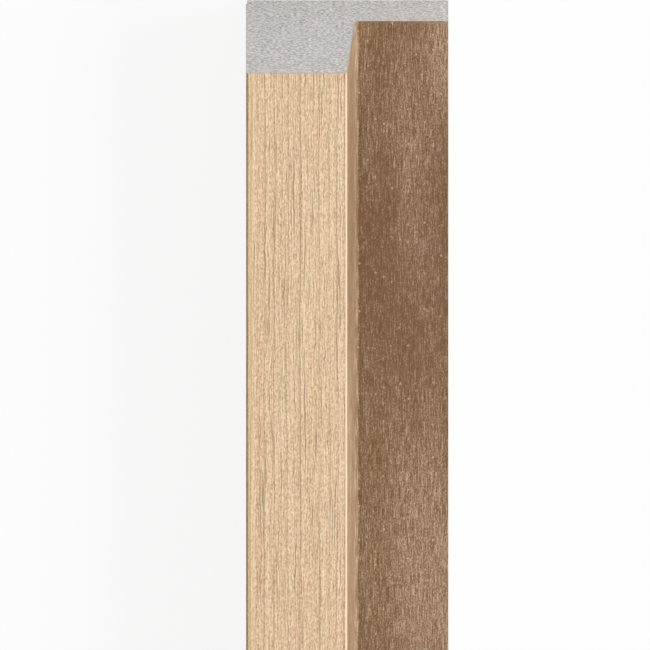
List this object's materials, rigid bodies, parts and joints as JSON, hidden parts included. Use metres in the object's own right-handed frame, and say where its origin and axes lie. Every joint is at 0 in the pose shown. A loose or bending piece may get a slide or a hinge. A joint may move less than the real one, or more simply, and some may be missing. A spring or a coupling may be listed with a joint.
{
  "type": "wall panel edge trim",
  "caption": "Edge trim for slatted wall panels: a long foam L-section with a raised slat and a thin flange, faced in pale and brown wood-look film.",
  "frame": {"origin": "centre of the flat back, halfway along the length and across the width", "axes": "+Y along the length; +X across it, from the slat to the flange; +Z out of the back, towards the slat's front"},
  "size_m": [0.042, 2.65, 0.021],
  "materials": {
    "grey_foam": "sawn foamed plastic, matt",
    "pale_wood_film": "embossed pale wood-look decor film, silky matt",
    "brown_wood_film": "fine-grained brown wood-look decor film, silky matt"
  },
  "bodies": {
    "root": {"foam_core": "grey_foam", "pale_film": "pale_wood_film", "brown_film": "brown_wood_film"}
  },
  "joints": []
}
